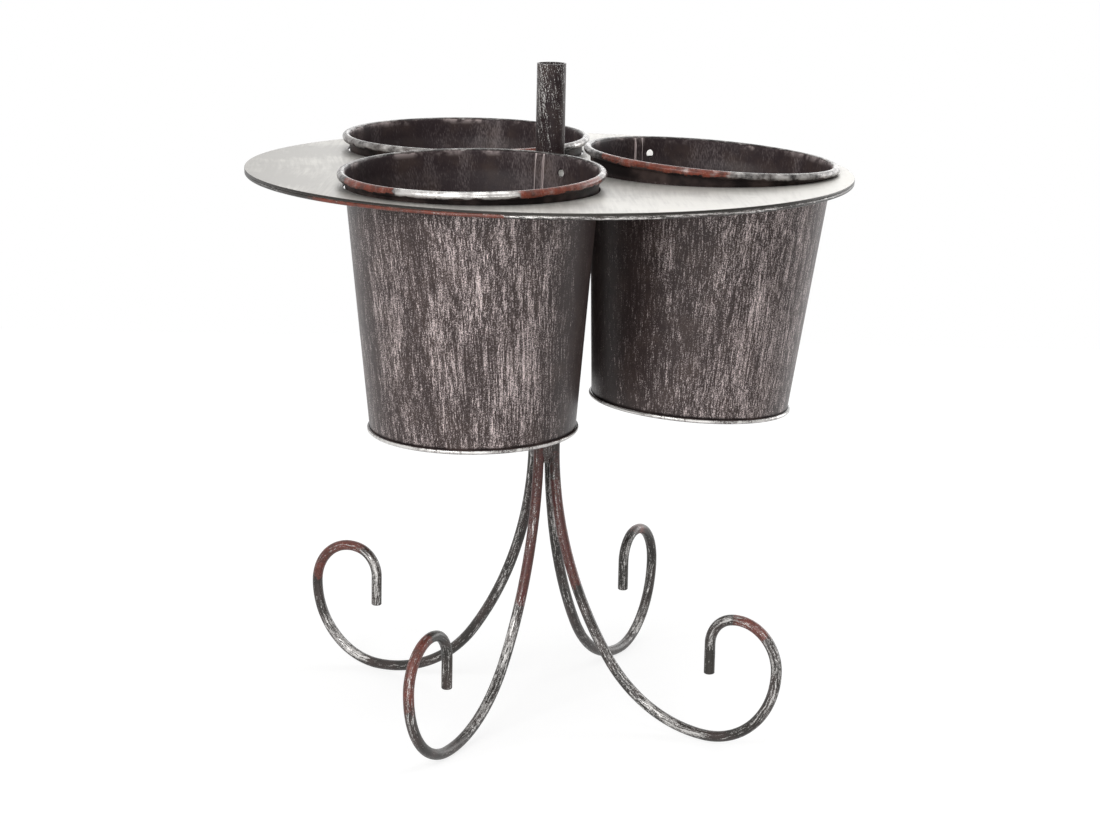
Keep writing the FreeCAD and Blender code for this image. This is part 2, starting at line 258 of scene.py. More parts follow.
# Red and silver round each rim, wear round each wall, and both round the edge ring: (degrees, level). The
# wall wear is set low on the sides where the pots shade one another, as painted shade.
RIM_COPPER = {
    "pot_front": [
        (0, 0.1), (150, 0.1), (198, 0.1), (205, 0.9), (232, 0.9), (240, 0.1),
        (288, 0.1), (298, 0.95), (338, 0.9), (348, 0.1), (360, 0.1),
    ],
    "pot_right": [(0, 0.1), (205, 0.1), (214, 0.95), (268, 0.9), (278, 0.1), (360, 0.1)],
    "pot_rear": [(0, 0.1), (252, 0.1), (262, 0.9), (305, 0.9), (315, 0.1), (360, 0.1)],
}
RIM_SILVER = {
    "pot_front": [
        (0, 0.4), (40, 0.2), (75, 0.2), (95, 0.3), (140, 0.25), (165, 0.2), (190, 0.45), (204, 0.0),
        (234, 0.0), (242, 0.9), (286, 0.9), (298, 0.0), (340, 0.05), (350, 0.5), (360, 0.55),
    ],
    "pot_right": [
        (0, 0.35), (40, 0.2), (140, 0.2), (180, 0.35), (200, 0.45),
        (214, 0.0), (266, 0.0), (278, 0.45), (360, 0.4),
    ],
    "pot_rear": [
        (0, 0.35), (60, 0.25), (120, 0.2), (170, 0.35), (200, 0.45),
        (248, 0.5), (262, 0.0), (304, 0.0), (316, 0.45), (360, 0.4),
    ],
}
WALL_WEAR_AND_SHADE = {
    "pot_front": [
        (0, 0.4), (30, 0.7), (150, 0.7), (180, 0.45), (200, 0.58),
        (225, 0.72), (300, 0.85), (318, 0.6), (330, 0.3), (360, 0.3),
    ],
    "pot_right": [
        (0, 0.45), (40, 0.7), (150, 0.6), (175, 0.35), (205, 0.3), (228, 0.3),
        (245, 0.65), (290, 0.85), (330, 0.85), (350, 0.5), (360, 0.45),
    ],
    "pot_rear": [(0, 0.7), (90, 0.85), (180, 0.75), (230, 0.5), (290, 0.5), (330, 0.7), (360, 0.7)],
}
RING_SILVER = [
    (0, 0.55), (130, 0.7), (205, 0.6), (224, 0.0), (258, 0.0), (268, 0.85),
    (303, 0.8), (307, 1.0), (311, 1.0), (316, 0.6), (360, 0.55),
]
RING_COPPER = [(0, 0.0), (40, 0.6), (70, 0.0), (220, 0.0), (226, 1.0), (258, 1.0), (266, 0.0), (360, 0.0)]

# Stage: floor, world, lamps and camera
FLOOR_REACH = 1.1
FLOOR_DROP = 0.2 * MM
FLOOR_GLOW = 0.80
WORLD_LIGHT = 0.25
STAND_MIDDLE = (0, 0, 0.2)
STAND_TOP = (0, 0, 0.35)
LAMPS = (
    ("key", (-0.95, -1.9, 1.2), STAND_MIDDLE, 1.2, 1.4, 33.0),
    ("fill", (1.9, 1.3, 0.7), STAND_MIDDLE, 0.8, 1.4, 17.0),
    ("low", (0.4, -2.3, 0.2), STAND_MIDDLE, 1.6, 0.5, 8.5),
    ("top", (0.2, -0.2, 2.2), STAND_MIDDLE, 1.8, 1.8, 17.0),
    ("back", (1.0, 2.5, 1.3), STAND_TOP, 3.0, 2.2, 26.0),
)
CAMERA_PLACE = (0.0028, -1.630, 0.5234)
CAMERA_PITCH = math.radians(12.24)
CAMERA_ROLL = math.radians(1.12)
CAMERA_CLIP = 0.05
SENSOR_WIDTH = 36.0
PHOTO_WIDTH_PIXELS = 1100.0
FOCAL_PIXELS = 2970.0


class Paint:
    """One procedural material and short calls for its nodes."""

    def __init__(self, name):
        self.material = bpy.data.materials.new(name)
        self.material.use_nodes = True
        self.nodes = self.material.node_tree.nodes
        self.links = self.material.node_tree.links
        self.shader = self.nodes["Principled BSDF"]

    def put(self, socket, value):
        """Links another node's output to a socket, or sets its value."""
        if isinstance(value, bpy.types.NodeSocket):
            self.links.new(value, socket)
        else:
            socket.default_value = value

    def finish(self, **values):
        """Sets the shader's sockets by name, with underscores for spaces."""
        for name, value in values.items():
            self.put(self.shader.inputs[name.replace("_", " ")], value)
        return self.material

    def math(self, operation, *values):
        node = self.nodes.new("ShaderNodeMath")
        node.operation = operation
        for socket, value in zip(node.inputs, values):
            self.put(socket, value)
        return node.outputs[0]

    def own_place(self):
        """Coordinates in the piece's own frame."""
        return self.nodes.new("ShaderNodeTexCoord").outputs["Object"]

    def face_normal(self):
        return self.nodes.new("ShaderNodeNewGeometry").outputs["Normal"]

    def attribute(self, name):
        node = self.nodes.new("ShaderNodeAttribute")
        node.attribute_name = name
        return node.outputs["Vector"]

    def parts(self, vector):
        node = self.nodes.new("ShaderNodeSeparateXYZ")
        self.put(node.inputs[0], vector)
        return node.outputs[0], node.outputs[1], node.outputs[2]

    def off_axis(self, x, y):
        """Distance from the Z axis."""
        return self.math("SQRT", self.math("ADD", self.math("MULTIPLY", x, x), self.math("MULTIPLY", y, y)))

    def stretched(self, vector, scales, offset=(0.0, 0.0, 0.0)):
        node = self.nodes.new("ShaderNodeMapping")
        self.put(node.inputs["Vector"], vector)
        node.inputs["Scale"].default_value = scales
        node.inputs["Location"].default_value = offset
        return node.outputs[0]

    def moved(self, vector, offset):
        return self.stretched(vector, (1.0, 1.0, 1.0), offset)

    def turned(self, vector, angle):
        """The vector turned about the Z axis."""
        node = self.nodes.new("ShaderNodeVectorRotate")
        node.rotation_type = "Z_AXIS"
        self.put(node.inputs["Vector"], vector)
        self.put(node.inputs["Angle"], angle)
        return node.outputs[0]

    def swayed(self, vector, scale, amount):
        """The vector pushed about by a soft noise, so that strokes don't run dead straight."""
        noise = self.nodes.new("ShaderNodeTexNoise")
        self.put(noise.inputs["Vector"], vector)
        noise.inputs["Scale"].default_value = scale
        noise.inputs["Detail"].default_value = 1.0
        centred = self.nodes.new("ShaderNodeVectorMath")
        centred.operation = "SUBTRACT"
        self.put(centred.inputs[0], noise.outputs["Color"])
        centred.inputs[1].default_value = (0.5, 0.5, 0.5)
        push = self.nodes.new("ShaderNodeVectorMath")
        push.operation = "MULTIPLY_ADD"
        self.put(push.inputs[0], centred.outputs[0])
        push.inputs[1].default_value = (amount, amount, amount)
        self.put(push.inputs[2], vector)
        return push.outputs[0]

    def noise(self, vector, scale, detail, roughness):
        node = self.nodes.new("ShaderNodeTexNoise")
        self.put(node.inputs["Vector"], vector)
        node.inputs["Scale"].default_value = scale
        node.inputs["Detail"].default_value = detail
        node.inputs["Roughness"].default_value = roughness
        return node.outputs["Fac"]

    def rise(self, value, low, high):
        """Zero below low, one above high, smooth between. With high under low it falls."""
        node = self.nodes.new("ShaderNodeMapRange")
        node.interpolation_type = "SMOOTHSTEP"
        self.put(node.inputs["Value"], value)
        self.put(node.inputs["From Min"], low)
        self.put(node.inputs["From Max"], high)
        return node.outputs[0]

    def table(self, value, stops):
        """A value read from a table of (place from 0 to 1, value) stops."""
        node = self.nodes.new("ShaderNodeValToRGB")
        ramp = node.color_ramp
        ramp.interpolation = "EASE"
        for index, (place, level) in enumerate(stops):
            element = ramp.elements[index] if index < 2 else ramp.elements.new(place)
            element.position = place
            element.color = (level, level, level, 1.0)
        self.put(node.inputs[0], value)
        return node.outputs[0]

    def blend(self, share, first, second):
        """A colour between two others."""
        node = self.nodes.new("ShaderNodeMix")
        node.data_type = "RGBA"
        self.put(node.inputs[0], share)
        self.put(node.inputs[6], first)
        self.put(node.inputs[7], second)
        return node.outputs[2]

    def between(self, share, first, second):
        """A number between two others."""
        node = self.nodes.new("ShaderNodeMix")
        self.put(node.inputs[0], share)
        self.put(node.inputs[2], first)
        self.put(node.inputs[3], second)
        return node.outputs[0]

    def bump(self, height, strength, distance):
        node = self.nodes.new("ShaderNodeBump")
        node.inputs["Strength"].default_value = strength
        node.inputs["Distance"].default_value = distance
        self.put(node.inputs["Height"], height)
        return node.outputs[0]


def stops(pairs, scale):
    """Table stops with places given in other units."""
    return [(place / scale, level) for place, level in pairs]


# Brushed paint, shared by the materials

def fibres(paint, place, scale, stretch, slant):
    """Fibres along Z, even on both sides of zero, turned about Z by a slant in radians per metre."""
    height = paint.parts(place)[2]
    slanted = paint.turned(place, paint.math("MULTIPLY", height, slant))
    shift = tuple(slant * share for share in SLANT_SHIFT_SHARES)
    strands = paint.stretched(slanted, (1.0, 1.0, stretch), shift)
    fibre = paint.noise(strands, scale, detail=2.0, roughness=0.55)
    return paint.math("SUBTRACT", fibre, 0.5)


def brush_marks(paint, place, slants, length=1.0, grain=1.7):
    """Dry-brush marks, even on both sides of zero: fibres of several lengths and slants, and grain."""
    total = 0.0
    for weight, scale, stretch, slant in BRUSH_LAYERS:
        layer = fibres(paint, place, scale, stretch / length, slants[slant])
        total = paint.math("MULTIPLY_ADD", layer, weight, total)
    layer = fibres(paint, place, GRAIN_SCALE, GRAIN_STRETCH, 0.0)
    return paint.math("MULTIPLY_ADD", layer, grain, total)


def rubbed(paint, marks, amount):
    """The share of silver left by the brush, from 0 to 1, where an amount of 0.75 is an even cover."""
    shifted = paint.math("ADD", marks, paint.math("MULTIPLY_ADD", amount, 0.5, -0.42))
    return paint.rise(shifted, -0.10, 0.60)


def antique(paint, marks, grains, rub, copper, under, red=COPPER, silver=BRIGHT_SILVER, gloss=0.5, **more):
    """Dark paint with red patches and brushed silver over both."""
    mottle = paint.noise(grains, scale=60.0, detail=3.0, roughness=0.6)
    ground = paint.blend(paint.rise(mottle, 0.4, 0.75), under, BROWN)
    blotch = paint.noise(grains, scale=200.0, detail=3.0, roughness=0.6)
    reds = paint.blend(paint.rise(blotch, 0.65, 0.30), red, COPPER_DARK)
    speckled = paint.math("MULTIPLY_ADD", paint.math("SUBTRACT", blotch, 0.5), 0.9, copper)
    speck = paint.noise(grains, scale=1100.0, detail=1.0, roughness=0.5)
    reds = paint.blend(paint.math("MULTIPLY", paint.rise(speck, 0.60, 0.70), 0.6), reds, ORANGE)
    ground = paint.blend(paint.rise(speckled, 0.3, 0.7), ground, reds)
    sockets = {
        "Base_Color": paint.blend(rub, ground, silver),
        "Metallic": paint.math("MULTIPLY", rub, gloss),
        "Roughness": paint.math("MULTIPLY_ADD", mottle, 0.12, 0.33),
        "Specular_IOR_Level": 0.4,
        "Normal": paint.bump(marks, strength=0.2, distance=PAINT_BUMP),
    }
    sockets.update(more)
    return paint.finish(**sockets)


# Materials

def pot_paint(pot, seed):
    """A pot's wall: brushed outside, dark inside, a rim with coppery and silver stretches, and painted shade
    under the rim and just above the foot.
    """
    paint = Paint("antique_" + pot)
    place = paint.own_place()
    x, y, height = paint.parts(place)
    radius = paint.off_axis(x, y)
    shifted = paint.moved(place, (seed, seed * 0.7, seed * 0.3))
    ragged = paint.noise(shifted, scale=130.0, detail=3.0, roughness=0.65)
    share = azimuth_share(paint, x, y, paint.math("MULTIPLY_ADD", ragged, 0.06, -0.03))
    patch = paint.noise(paint.stretched(shifted, (1.0, 1.0, 0.3)), scale=45.0, detail=3.0, roughness=0.6)
    below = paint.math("SUBTRACT", BEAD_CENTRE_HEIGHT, height)
    # Painted shade: a band under the rim and a band just above the foot get black paint, no silver and less
    # shine, where shade falls
    clear_of_painted_shade = paint.math("MULTIPLY", paint.rise(below, *PAINTED_SHADE_BELOW_RIM), paint.rise(height, *PAINTED_SHADE_AT_FOOT))
    slants = (0.4 * seed, 1.4 - 0.6 * seed, CROSS_SLANT)
    marks = brush_marks(paint, paint.swayed(place, scale=14.0, amount=WALL_SWAY), slants)

    # Less silver where the pots shade one another: painted shade mixed into the wear
    wear_and_shade = paint.table(share, stops(WALL_WEAR_AND_SHADE[pot], DEGREES))
    amount = paint.math("ADD", wear_and_shade, paint.math("SUBTRACT", patch, 0.5))
    outer = paint.math("MULTIPLY", rubbed(paint, marks, amount), clear_of_painted_shade)
    inner = inside_rub(paint, pot, place, shifted, patch, below)
    outside = outside_share(paint, radius, height)
    wall = paint.between(outside, inner, outer)
    bead = bead_share(paint, radius, height, ragged)
    silvery = paint.table(share, stops(RIM_SILVER[pot], DEGREES))
    # Rim silver fades out down the bead: partly dry-brush on its top, partly painted shade underneath
    rim = paint.math("MULTIPLY", rim_patches(paint, silvery, shifted), paint.rise(height, *RIM_TOP_SILVER_AND_SHADE))

    copper = paint.math("MULTIPLY", bead, paint.table(share, stops(RIM_COPPER[pot], DEGREES)))
    under = paint.blend(outside, INSIDE_DARK, paint.blend(clear_of_painted_shade, PAINTED_SHADE_BLACK, DARK))
    return antique(
        paint, marks, shifted, paint.between(bead, wall, rim), copper, under,
        silver=paint.blend(bead, SILVER, paint.blend(silvery, RIM_GREY, BRIGHT_SILVER)),
        gloss=paint.between(bead, 0.5, 0.8),
        Roughness=paint.between(bead, 0.38, 0.22),
        Specular_IOR_Level=paint.between(bead, paint.between(clear_of_painted_shade, 0.05, 0.25), 0.2),
    )


def azimuth_share(paint, x, y, wobble):
    """Azimuth as a share of a full turn from +X, with a ragged edge."""
    turn = paint.math("MULTIPLY_ADD", paint.math("ARCTAN2", y, x), 0.5 / math.pi, wobble)
    return paint.math("FRACT", paint.math("ADD", turn, 1.0))


def outside_share(paint, radius, height):
    """One on the wall's outside and zero on its inside."""
    slope = math.tan(wall_taper())
    foot_middle = WALL_FOOT_RADIUS - CRIMP_HEIGHT * slope - SHEET / 2
    middle = paint.math("MULTIPLY_ADD", height, slope, foot_middle)
    return paint.rise(paint.math("SUBTRACT", radius, middle), -WALL_SKIN, WALL_SKIN)


def bead_share(paint, radius, height, ragged):
    """One on the rim's paint, which covers less of the bead's inner side."""
    inner_side = paint.rise(paint.math("SUBTRACT", BEAD_CENTRE_RADIUS, radius), *RIM_INNER_SIDE)
    held_back = paint.math("MULTIPLY_ADD", inner_side, -RIM_HELD_BACK, height)
    edge = paint.math("MULTIPLY_ADD", ragged, RIM_RAGGED, held_back)
    return paint.rise(edge, RIM_EDGE_START, RIM_EDGE_FULL)


def rim_patches(paint, amount, place):
    """Soft patches of silver from 0 to 1, that grow with the amount."""
    softness = 0.28
    fibre = paint.noise(place, scale=150.0, detail=4.0, roughness=0.68)
    level = paint.math("MULTIPLY_ADD", amount, -0.4, 0.75)
    return paint.rise(fibre, paint.math("SUBTRACT", level, softness), paint.math("ADD", level, softness))


def inside_rub(paint, pot, place, shifted, patch, below):
    """The faint silver inside a pot: grain, runs below the rim and the seam's edges."""
    grain = fibres(paint, place, 1500.0, 0.3, CROSS_SLANT)
    dusty = rubbed(paint, grain, paint.math("MULTIPLY_ADD", patch, 3.0, -0.7))
    run = paint.rise(paint.noise(shifted, scale=60.0, detail=4.0, roughness=0.65), 0.48, 0.62)
    drips = paint.math("MULTIPLY", run, paint.rise(below, *DRIP_FADE))
    faint = paint.math("MAXIMUM", paint.math("MULTIPLY", dusty, 0.2), paint.math("MULTIPLY", drips, 0.3))
    seam = seam_lines(paint, place, math.radians(SEAM_AZIMUTH[pot]))
    return paint.math("MAXIMUM", faint, paint.math("MULTIPLY", seam, 0.6))


def seam_lines(paint, place, azimuth):
    """Two light lines along the edges of the lap seam."""
    x, y = paint.parts(paint.turned(place, -azimuth))[:2]
    off = paint.math("ABSOLUTE", paint.math("SUBTRACT", paint.math("ABSOLUTE", y), SEAM_WIDTH / 2))
    line = paint.rise(off, *SEAM_LINE_FADE)
    return paint.math("MULTIPLY", line, paint.rise(x, 0.0, SEAM_SIDE_FADE))


def base_paint():
    """The bottom's paint, rubbed bright on the rolled seam."""
    paint = Paint("antique_base")
    place = paint.own_place()
    x, y = paint.parts(place)[:2]
    patch = paint.noise(place, scale=70.0, detail=3.0, roughness=0.6)
    seam = paint.rise(paint.off_axis(x, y), *FOOT_SILVER)
    amount = paint.math("MULTIPLY", seam, paint.between(paint.rise(patch, 0.3, 0.7), 0.55, 1.0))
    marks = brush_marks(paint, place, (1.0, 2.0, 3.0), length=0.2)
    rub = rubbed(paint, marks, paint.math("MULTIPLY_ADD", amount, 2.2, 0.1))
    return antique(paint, marks, place, rub, 0.0, DARK, gloss=0.6, Roughness=0.25)


def rod_paint(name, seed, length, silvers, coppers, reds):
    """A rod's paint, patchy along its length, with painted highlight on its faces toward ±Y and up. The place
    in the rod comes from the mesh.
    """
    paint = Paint(name)
    place = paint.attribute("rod_place")
    along = paint.parts(place)[2]
    shifted = paint.moved(place, (seed, seed * 0.6, seed * 1.3))
    ragged = paint.noise(shifted, scale=320.0, detail=3.0, roughness=0.7)
    share = paint.math("DIVIDE", paint.math("MULTIPLY_ADD", ragged, ROD_RAGGED, along), length)
    share = paint.math("SUBTRACT", share, ROD_RAGGED / 2 / length)
    slants = (1.0 + seed, 6.0 - seed, seed - 7.0)
    swayed = paint.swayed(place, scale=160.0, amount=ROD_SWAY)
    marks = brush_marks(paint, swayed, slants, length=0.6, grain=1.0)
    # Painted highlight and shade: silver gathers on the faces toward ±Y and upward and thins on the rod's
    # sides, partly real dry-brush
    face_y, face_z = paint.parts(paint.face_normal())[1:]
    painted_highlight_facing = paint.math("MULTIPLY_ADD", face_z, 0.35, paint.math("ABSOLUTE", face_y))
    side = paint.rise(paint.math("MULTIPLY_ADD", ragged, 0.9, painted_highlight_facing), 0.75, 1.35)
    amount = paint.math("MULTIPLY", paint.table(share, silvers), paint.math("MULTIPLY_ADD", side, 0.9, 0.1))
    strong = paint.math("MULTIPLY", marks, 1.7)
    rub = rubbed(paint, strong, paint.math("MULTIPLY_ADD", amount, 1.7, -0.1))
    red = paint.blend(paint.rise(share, 0.4, 0.6), *reds)
    return antique(paint, marks, shifted, rub, paint.table(share, coppers), OLIVE, red=red)


def cad_patches(paint, place):
    """Patches on a CAD mesh, stretched along Z."""
    return paint.noise(paint.stretched(place, (1.0, 1.0, 0.4)), scale=55.0, detail=3.0, roughness=0.6)


def weld_paint():
    """The weld's brown paint, streaked with silver along Z."""
    paint = Paint("antique_weld")
    place = paint.own_place()
    swayed = paint.swayed(place, scale=60.0, amount=CAD_SWAY)
    marks = brush_marks(paint, swayed, (0.5, 3.0, -4.0), length=0.7)
    rub = rubbed(paint, marks, paint.math("MULTIPLY_ADD", cad_patches(paint, place), 1.6, -0.1))
    return antique(paint, marks, place, rub, 0.0, BROWN)


def post_paint():
    """The posts' dark paint, brushed silver on a slant towards the top of the upper tube."""
    paint = Paint("antique_post")
    place = paint.own_place()
    height = paint.parts(place)[2]
    swayed = paint.swayed(place, scale=60.0, amount=CAD_SWAY)
    marks = brush_marks(paint, swayed, (25.0, 45.0, -10.0), length=0.5)
    silver = paint.between(paint.rise(height, POST_PLAIN_HEIGHT, POST_BRUSHED_HEIGHT), 0.05, 0.55)
    patchy = paint.math("MULTIPLY_ADD", cad_patches(paint, place), 1.6, -0.8)
    rub = rubbed(paint, paint.math("MULTIPLY", marks, 1.5), paint.math("ADD", silver, patchy))
    return antique(paint, marks, place, rub, 0.0, POST_DARK, Specular_IOR_Level=0.15)


def tray_paint():
    """Grey satin paint with faint brushing and dull blotches, lighter towards +X and duller towards -X as
    painted light and shade, and painted shade on the sheet's upright edges.
    """
    paint = Paint("antique_tray")
    place = paint.own_place()
    x = paint.parts(place)[0]
    soft = paint.noise(place, scale=18.0, detail=4.0, roughness=0.55)
    fine = paint.noise(place, scale=900.0, detail=2.0, roughness=0.6)
    strokes = paint.stretched(paint.swayed(place, scale=6.0, amount=TRAY_SWAY), (1.0, 0.05, 1.0))
    brushed = paint.noise(strokes, scale=500.0, detail=3.0, roughness=0.6)
    # Painted light and shade: the ground grows lighter towards +X and duller towards -X, mixed with a soft
    # mottle
    mottle_and_painted_light = paint.math("MULTIPLY_ADD", x, 0.9, soft)
    mixed = paint.math("MULTIPLY_ADD", paint.math("SUBTRACT", brushed, 0.5), 0.5, mottle_and_painted_light)
    ground = paint.blend(paint.rise(mixed, 0.3, 0.7), TRAY_DULL, TRAY_PALE_AND_SHEEN)
    scuff = paint.rise(paint.noise(place, scale=60.0, detail=5.0, roughness=0.75), 0.6, 0.72)
    ground = paint.blend(paint.math("MULTIPLY", scuff, 0.25), ground, BROWN)
    # Painted shade: the upright edges of the sheet and of its holes get dark paint
    face_z = paint.parts(paint.face_normal())[2]
    edge = paint.rise(paint.math("ABSOLUTE", face_z), 0.85, 0.35)
    return paint.finish(
        Base_Color=paint.blend(edge, ground, OLIVE),
        Metallic=0.35,
        Roughness=paint.math("MULTIPLY_ADD", soft, 0.10, 0.35),
        Specular_IOR_Level=0.4,
        Normal=paint.bump(paint.math("MULTIPLY_ADD", fine, 0.08, soft), strength=0.25, distance=TRAY_BUMP),
    )


def steel():
    """Plain drawn steel of the studs, plugs and rim wires."""
    paint = Paint("drawn_steel")
    lines = paint.noise(
        paint.stretched(paint.own_place(), (1.0, 1.0, 40.0)), scale=120.0, detail=3.0, roughness=0.6
    )
    return paint.finish(
        Base_Color=paint.blend(lines, STEEL_DULL, STEEL),
        Metallic=1.0,
        Roughness=paint.math("MULTIPLY_ADD", lines, 0.2, 0.25),
        Normal=paint.bump(lines, strength=0.15, distance=PAINT_BUMP),
    )


# Helpers for meshes

def grid_faces(rows, columns, close_rows, close_columns):
    """Quads of a grid of points, stored row by row."""
    faces = []
    for row in range(rows if close_rows else rows - 1):
        for column in range(columns if close_columns else columns - 1):
            next_row = (row + 1) % rows
            next_column = (column + 1) % columns
            faces.append((
                row * columns + column,
                next_row * columns + column,
                next_row * columns + next_column,
                row * columns + next_column,
            ))
    return faces


def turned_points(radius, height, angles):
    """Points of a turned section, one row per angle."""
    across = radius * np.cos(angles)[:, None]
    along = radius * np.sin(angles)[:, None]
    return np.stack([across, along, height], -1).reshape(-1, 3)


def soft_wave(angles, seed, lobes):
    """A smooth closed wave round a turn, between -1 and 1."""
    total = np.zeros_like(angles)
    for lobe in lobes:
        total += np.sin(angles * lobe + seed * (lobe + 1.7)) / len(lobes)
    return total


def turn_away(angles, centre):
    """Angles from a centre, between minus and plus half a turn."""
    return np.mod(angles - centre + math.pi, FULL_TURN) - math.pi


def add_piece(name, points, faces, material, body, node, matrix=Matrix.Identity(4), sharp=SHARP_ANGLE):
    """A smooth mesh piece that rides on a body and stands for a CAD node."""
    mesh = bpy.data.meshes.new(name)
    mesh.from_pydata([tuple(p) for p in points], [], faces)
    turn_faces_out(mesh)
    mesh.polygons.foreach_set("use_smooth", [True] * len(mesh.polygons))
    mesh.set_sharp_from_angle(angle=math.radians(sharp))
    mesh.materials.append(material)
    piece = bpy.data.objects.new(name, mesh)
    bpy.context.scene.collection.objects.link(piece)
    piece.matrix_world = matrix
    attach(piece, body)
    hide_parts(node)
    return piece


def turn_faces_out(mesh):
    shaper = bmesh.new()
    shaper.from_mesh(mesh)
    bmesh.ops.recalc_face_normals(shaper, faces=shaper.faces)
    shaper.to_mesh(mesh)
    shaper.free()


def baked_mesh(piece):
    """A piece's mesh with its modifiers or its curve worked out."""
    bpy.context.view_layer.update()
    return bpy.data.meshes.new_from_object(piece.evaluated_get(bpy.context.evaluated_depsgraph_get()))


def set_places(piece, places):
    """Stores a place vector per point for the material."""
    attribute = piece.data.attributes.new("rod_place", "FLOAT_VECTOR", "POINT")
    attribute.data.foreach_set("vector", np.asarray(places, np.float32).ravel())


# Pots

def pot_matrix(pot):
    """The pot's own frame: its foot's centre and its leaning axis."""
    axis = next(Vector(j["axis"]) for j in frame["joints"] if j["child"] == pot).normalized()
    low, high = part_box(pot + "_rim_wire")
    foot = (low + high) / 2 - axis * BEAD_CENTRE_HEIGHT
    turn = Vector((0, 0, 1)).rotation_difference(axis).to_matrix().to_4x4()
    return Matrix.Translation(foot) @ turn


def wall_taper():
    """The pot wall's slope from upright, tangent to the inside of the rolled bead."""
    across = BEAD_CENTRE_RADIUS - WALL_FOOT_RADIUS
    up = BEAD_CENTRE_HEIGHT - CRIMP_HEIGHT
    return math.atan2(across, up) - math.asin(CURL_BORE / math.hypot(across, up))


def bead_point(radius, angle):
    return (BEAD_CENTRE_RADIUS + radius * math.cos(angle), BEAD_CENTRE_HEIGHT + radius * math.sin(angle))


def wall_profile():
    """The wall's section as (radius, height): up the inside, round the bead, down the outside."""
    taper = wall_taper()
    start = math.pi - taper
    top_in = bead_point(BEAD_RADIUS, start)
    top_out = bead_point(CURL_BORE, start)
    points = []
    for step in range(WALL_ROWS):
        height = WALL_LOW + (top_in[1] - WALL_LOW) * step / WALL_ROWS
        points.append((top_in[0] - (top_in[1] - height) * math.tan(taper), height))
    for step in range(BEAD_STEPS + 1):
        points.append(bead_point(BEAD_RADIUS, start + (CURL_END - start) * step / BEAD_STEPS))
    for step in range(BORE_STEPS):
        points.append(bead_point(CURL_BORE, CURL_END + (start - CURL_END) * step / BORE_STEPS))
    for step in range(WALL_ROWS + 1):
        height = top_out[1] + (WALL_LOW - top_out[1]) * step / WALL_ROWS
        points.append((top_out[0] - (top_out[1] - height) * math.tan(taper), height))
    return np.array(points)


def seam_angles(seam):
    """Even angles round a turn, with close ones added at the lap seam's edges."""
    half = SEAM_WIDTH / 2 / BEAD_CENTRE_RADIUS
    nudges = (-SEAM_STEP_ANGLE, SEAM_STEP_ANGLE)
    edges = [seam + side * (half + nudge) for side in (-1, 1) for nudge in nudges]
    even = np.linspace(0, FULL_TURN, WALL_SIDES, endpoint=False)
    return np.unique(np.concatenate([even, np.mod(edges, FULL_TURN)]))


def wall_waves(angles, height, seed):
    """How far the hand-formed wall stands out of true."""
    up = np.clip(height / BEAD_CENTRE_HEIGHT, 0, 1)
    wave = soft_wave(angles, seed, WALL_WAVE_LOBES)[:, None] * WALL_WAVE * up
    belly = soft_wave(angles, seed + 4, WALL_BELLY_LOBES)[:, None] * WALL_BELLY * np.sin(up * math.pi)
    return wave + belly


def make_wall(pot, seed, material):
    """A pot's wall: tapered sheet with a hand-rolled bead, a lap seam inside and a hanging hole."""
    profile = wall_profile()
    index = np.arange(len(profile))[None, :]
    seam = math.radians(SEAM_AZIMUTH[pot])
    angles = seam_angles(seam)
    height = np.repeat(profile[None, :, 1], len(angles), 0)
    radius = np.repeat(profile[None, :, 0], len(angles), 0) + wall_waves(angles, height, seed)
    on_bead = (index >= WALL_ROWS) & (index <= WALL_ROWS + BEAD_STEPS)
    swell = 1 + soft_wave(angles, seed + 2, BEAD_SWELL_LOBES)[:, None] * BEAD_SWELL_SHARE
    radius = np.where(on_bead, BEAD_CENTRE_RADIUS + (radius - BEAD_CENTRE_RADIUS) * swell, radius)
    lapped = (np.abs(turn_away(angles, seam)) < SEAM_WIDTH / 2 / BEAD_CENTRE_RADIUS)[:, None]
    inside = (index < WALL_ROWS) & (height > SEAM_LOW)
    radius = np.where(lapped & inside, radius - SHEET, radius)
    points = turned_points(radius, height, angles)
    faces = grid_faces(len(angles), len(profile), True, True)
    matrix = pot_matrix(pot)
    piece = add_piece(pot + "_shell", points, faces, material, pot, pot + "_wall", matrix)
    cut_hole(piece, math.radians(HOLE_AZIMUTH[pot]))


def cut_hole(piece, azimuth):
    """Cuts the round hanging hole through the wall."""
    place = Matrix.Rotation(azimuth, 4, "Z") @ Matrix.Translation((0, 0, BEAD_CENTRE_HEIGHT - HOLE_DROP))
    points = []
    for depth in (BEAD_CENTRE_RADIUS - HOLE_CUT_REACH, BEAD_CENTRE_RADIUS + HOLE_CUT_REACH):
        for side in range(HOLE_SIDES):
            turn = FULL_TURN * side / HOLE_SIDES
            points.append(place @ Vector((depth, HOLE_RADIUS * math.cos(turn), HOLE_RADIUS * math.sin(turn))))
    faces = [tuple(reversed(range(HOLE_SIDES))), tuple(range(HOLE_SIDES, 2 * HOLE_SIDES))]
    for side in range(HOLE_SIDES):
        after = (side + 1) % HOLE_SIDES
        faces.append((side, after, HOLE_SIDES + after, HOLE_SIDES + side))
    mesh = bpy.data.meshes.new("hole_cutter")
    mesh.from_pydata([tuple(p) for p in points], [], faces)
    cutter = bpy.data.objects.new("hole_cutter", mesh)
    bpy.context.scene.collection.objects.link(cutter)
    cutter.matrix_world = piece.matrix_world
    cut = piece.modifiers.new("hole", "BOOLEAN")
    cut.object = cutter
    cut.solver = "EXACT"
    shaped = baked_mesh(piece)
    piece.modifiers.clear()
    piece.data = shaped
    bpy.data.objects.remove(cutter)
    shaped.set_sharp_from_angle(angle=math.radians(SHARP_ANGLE))


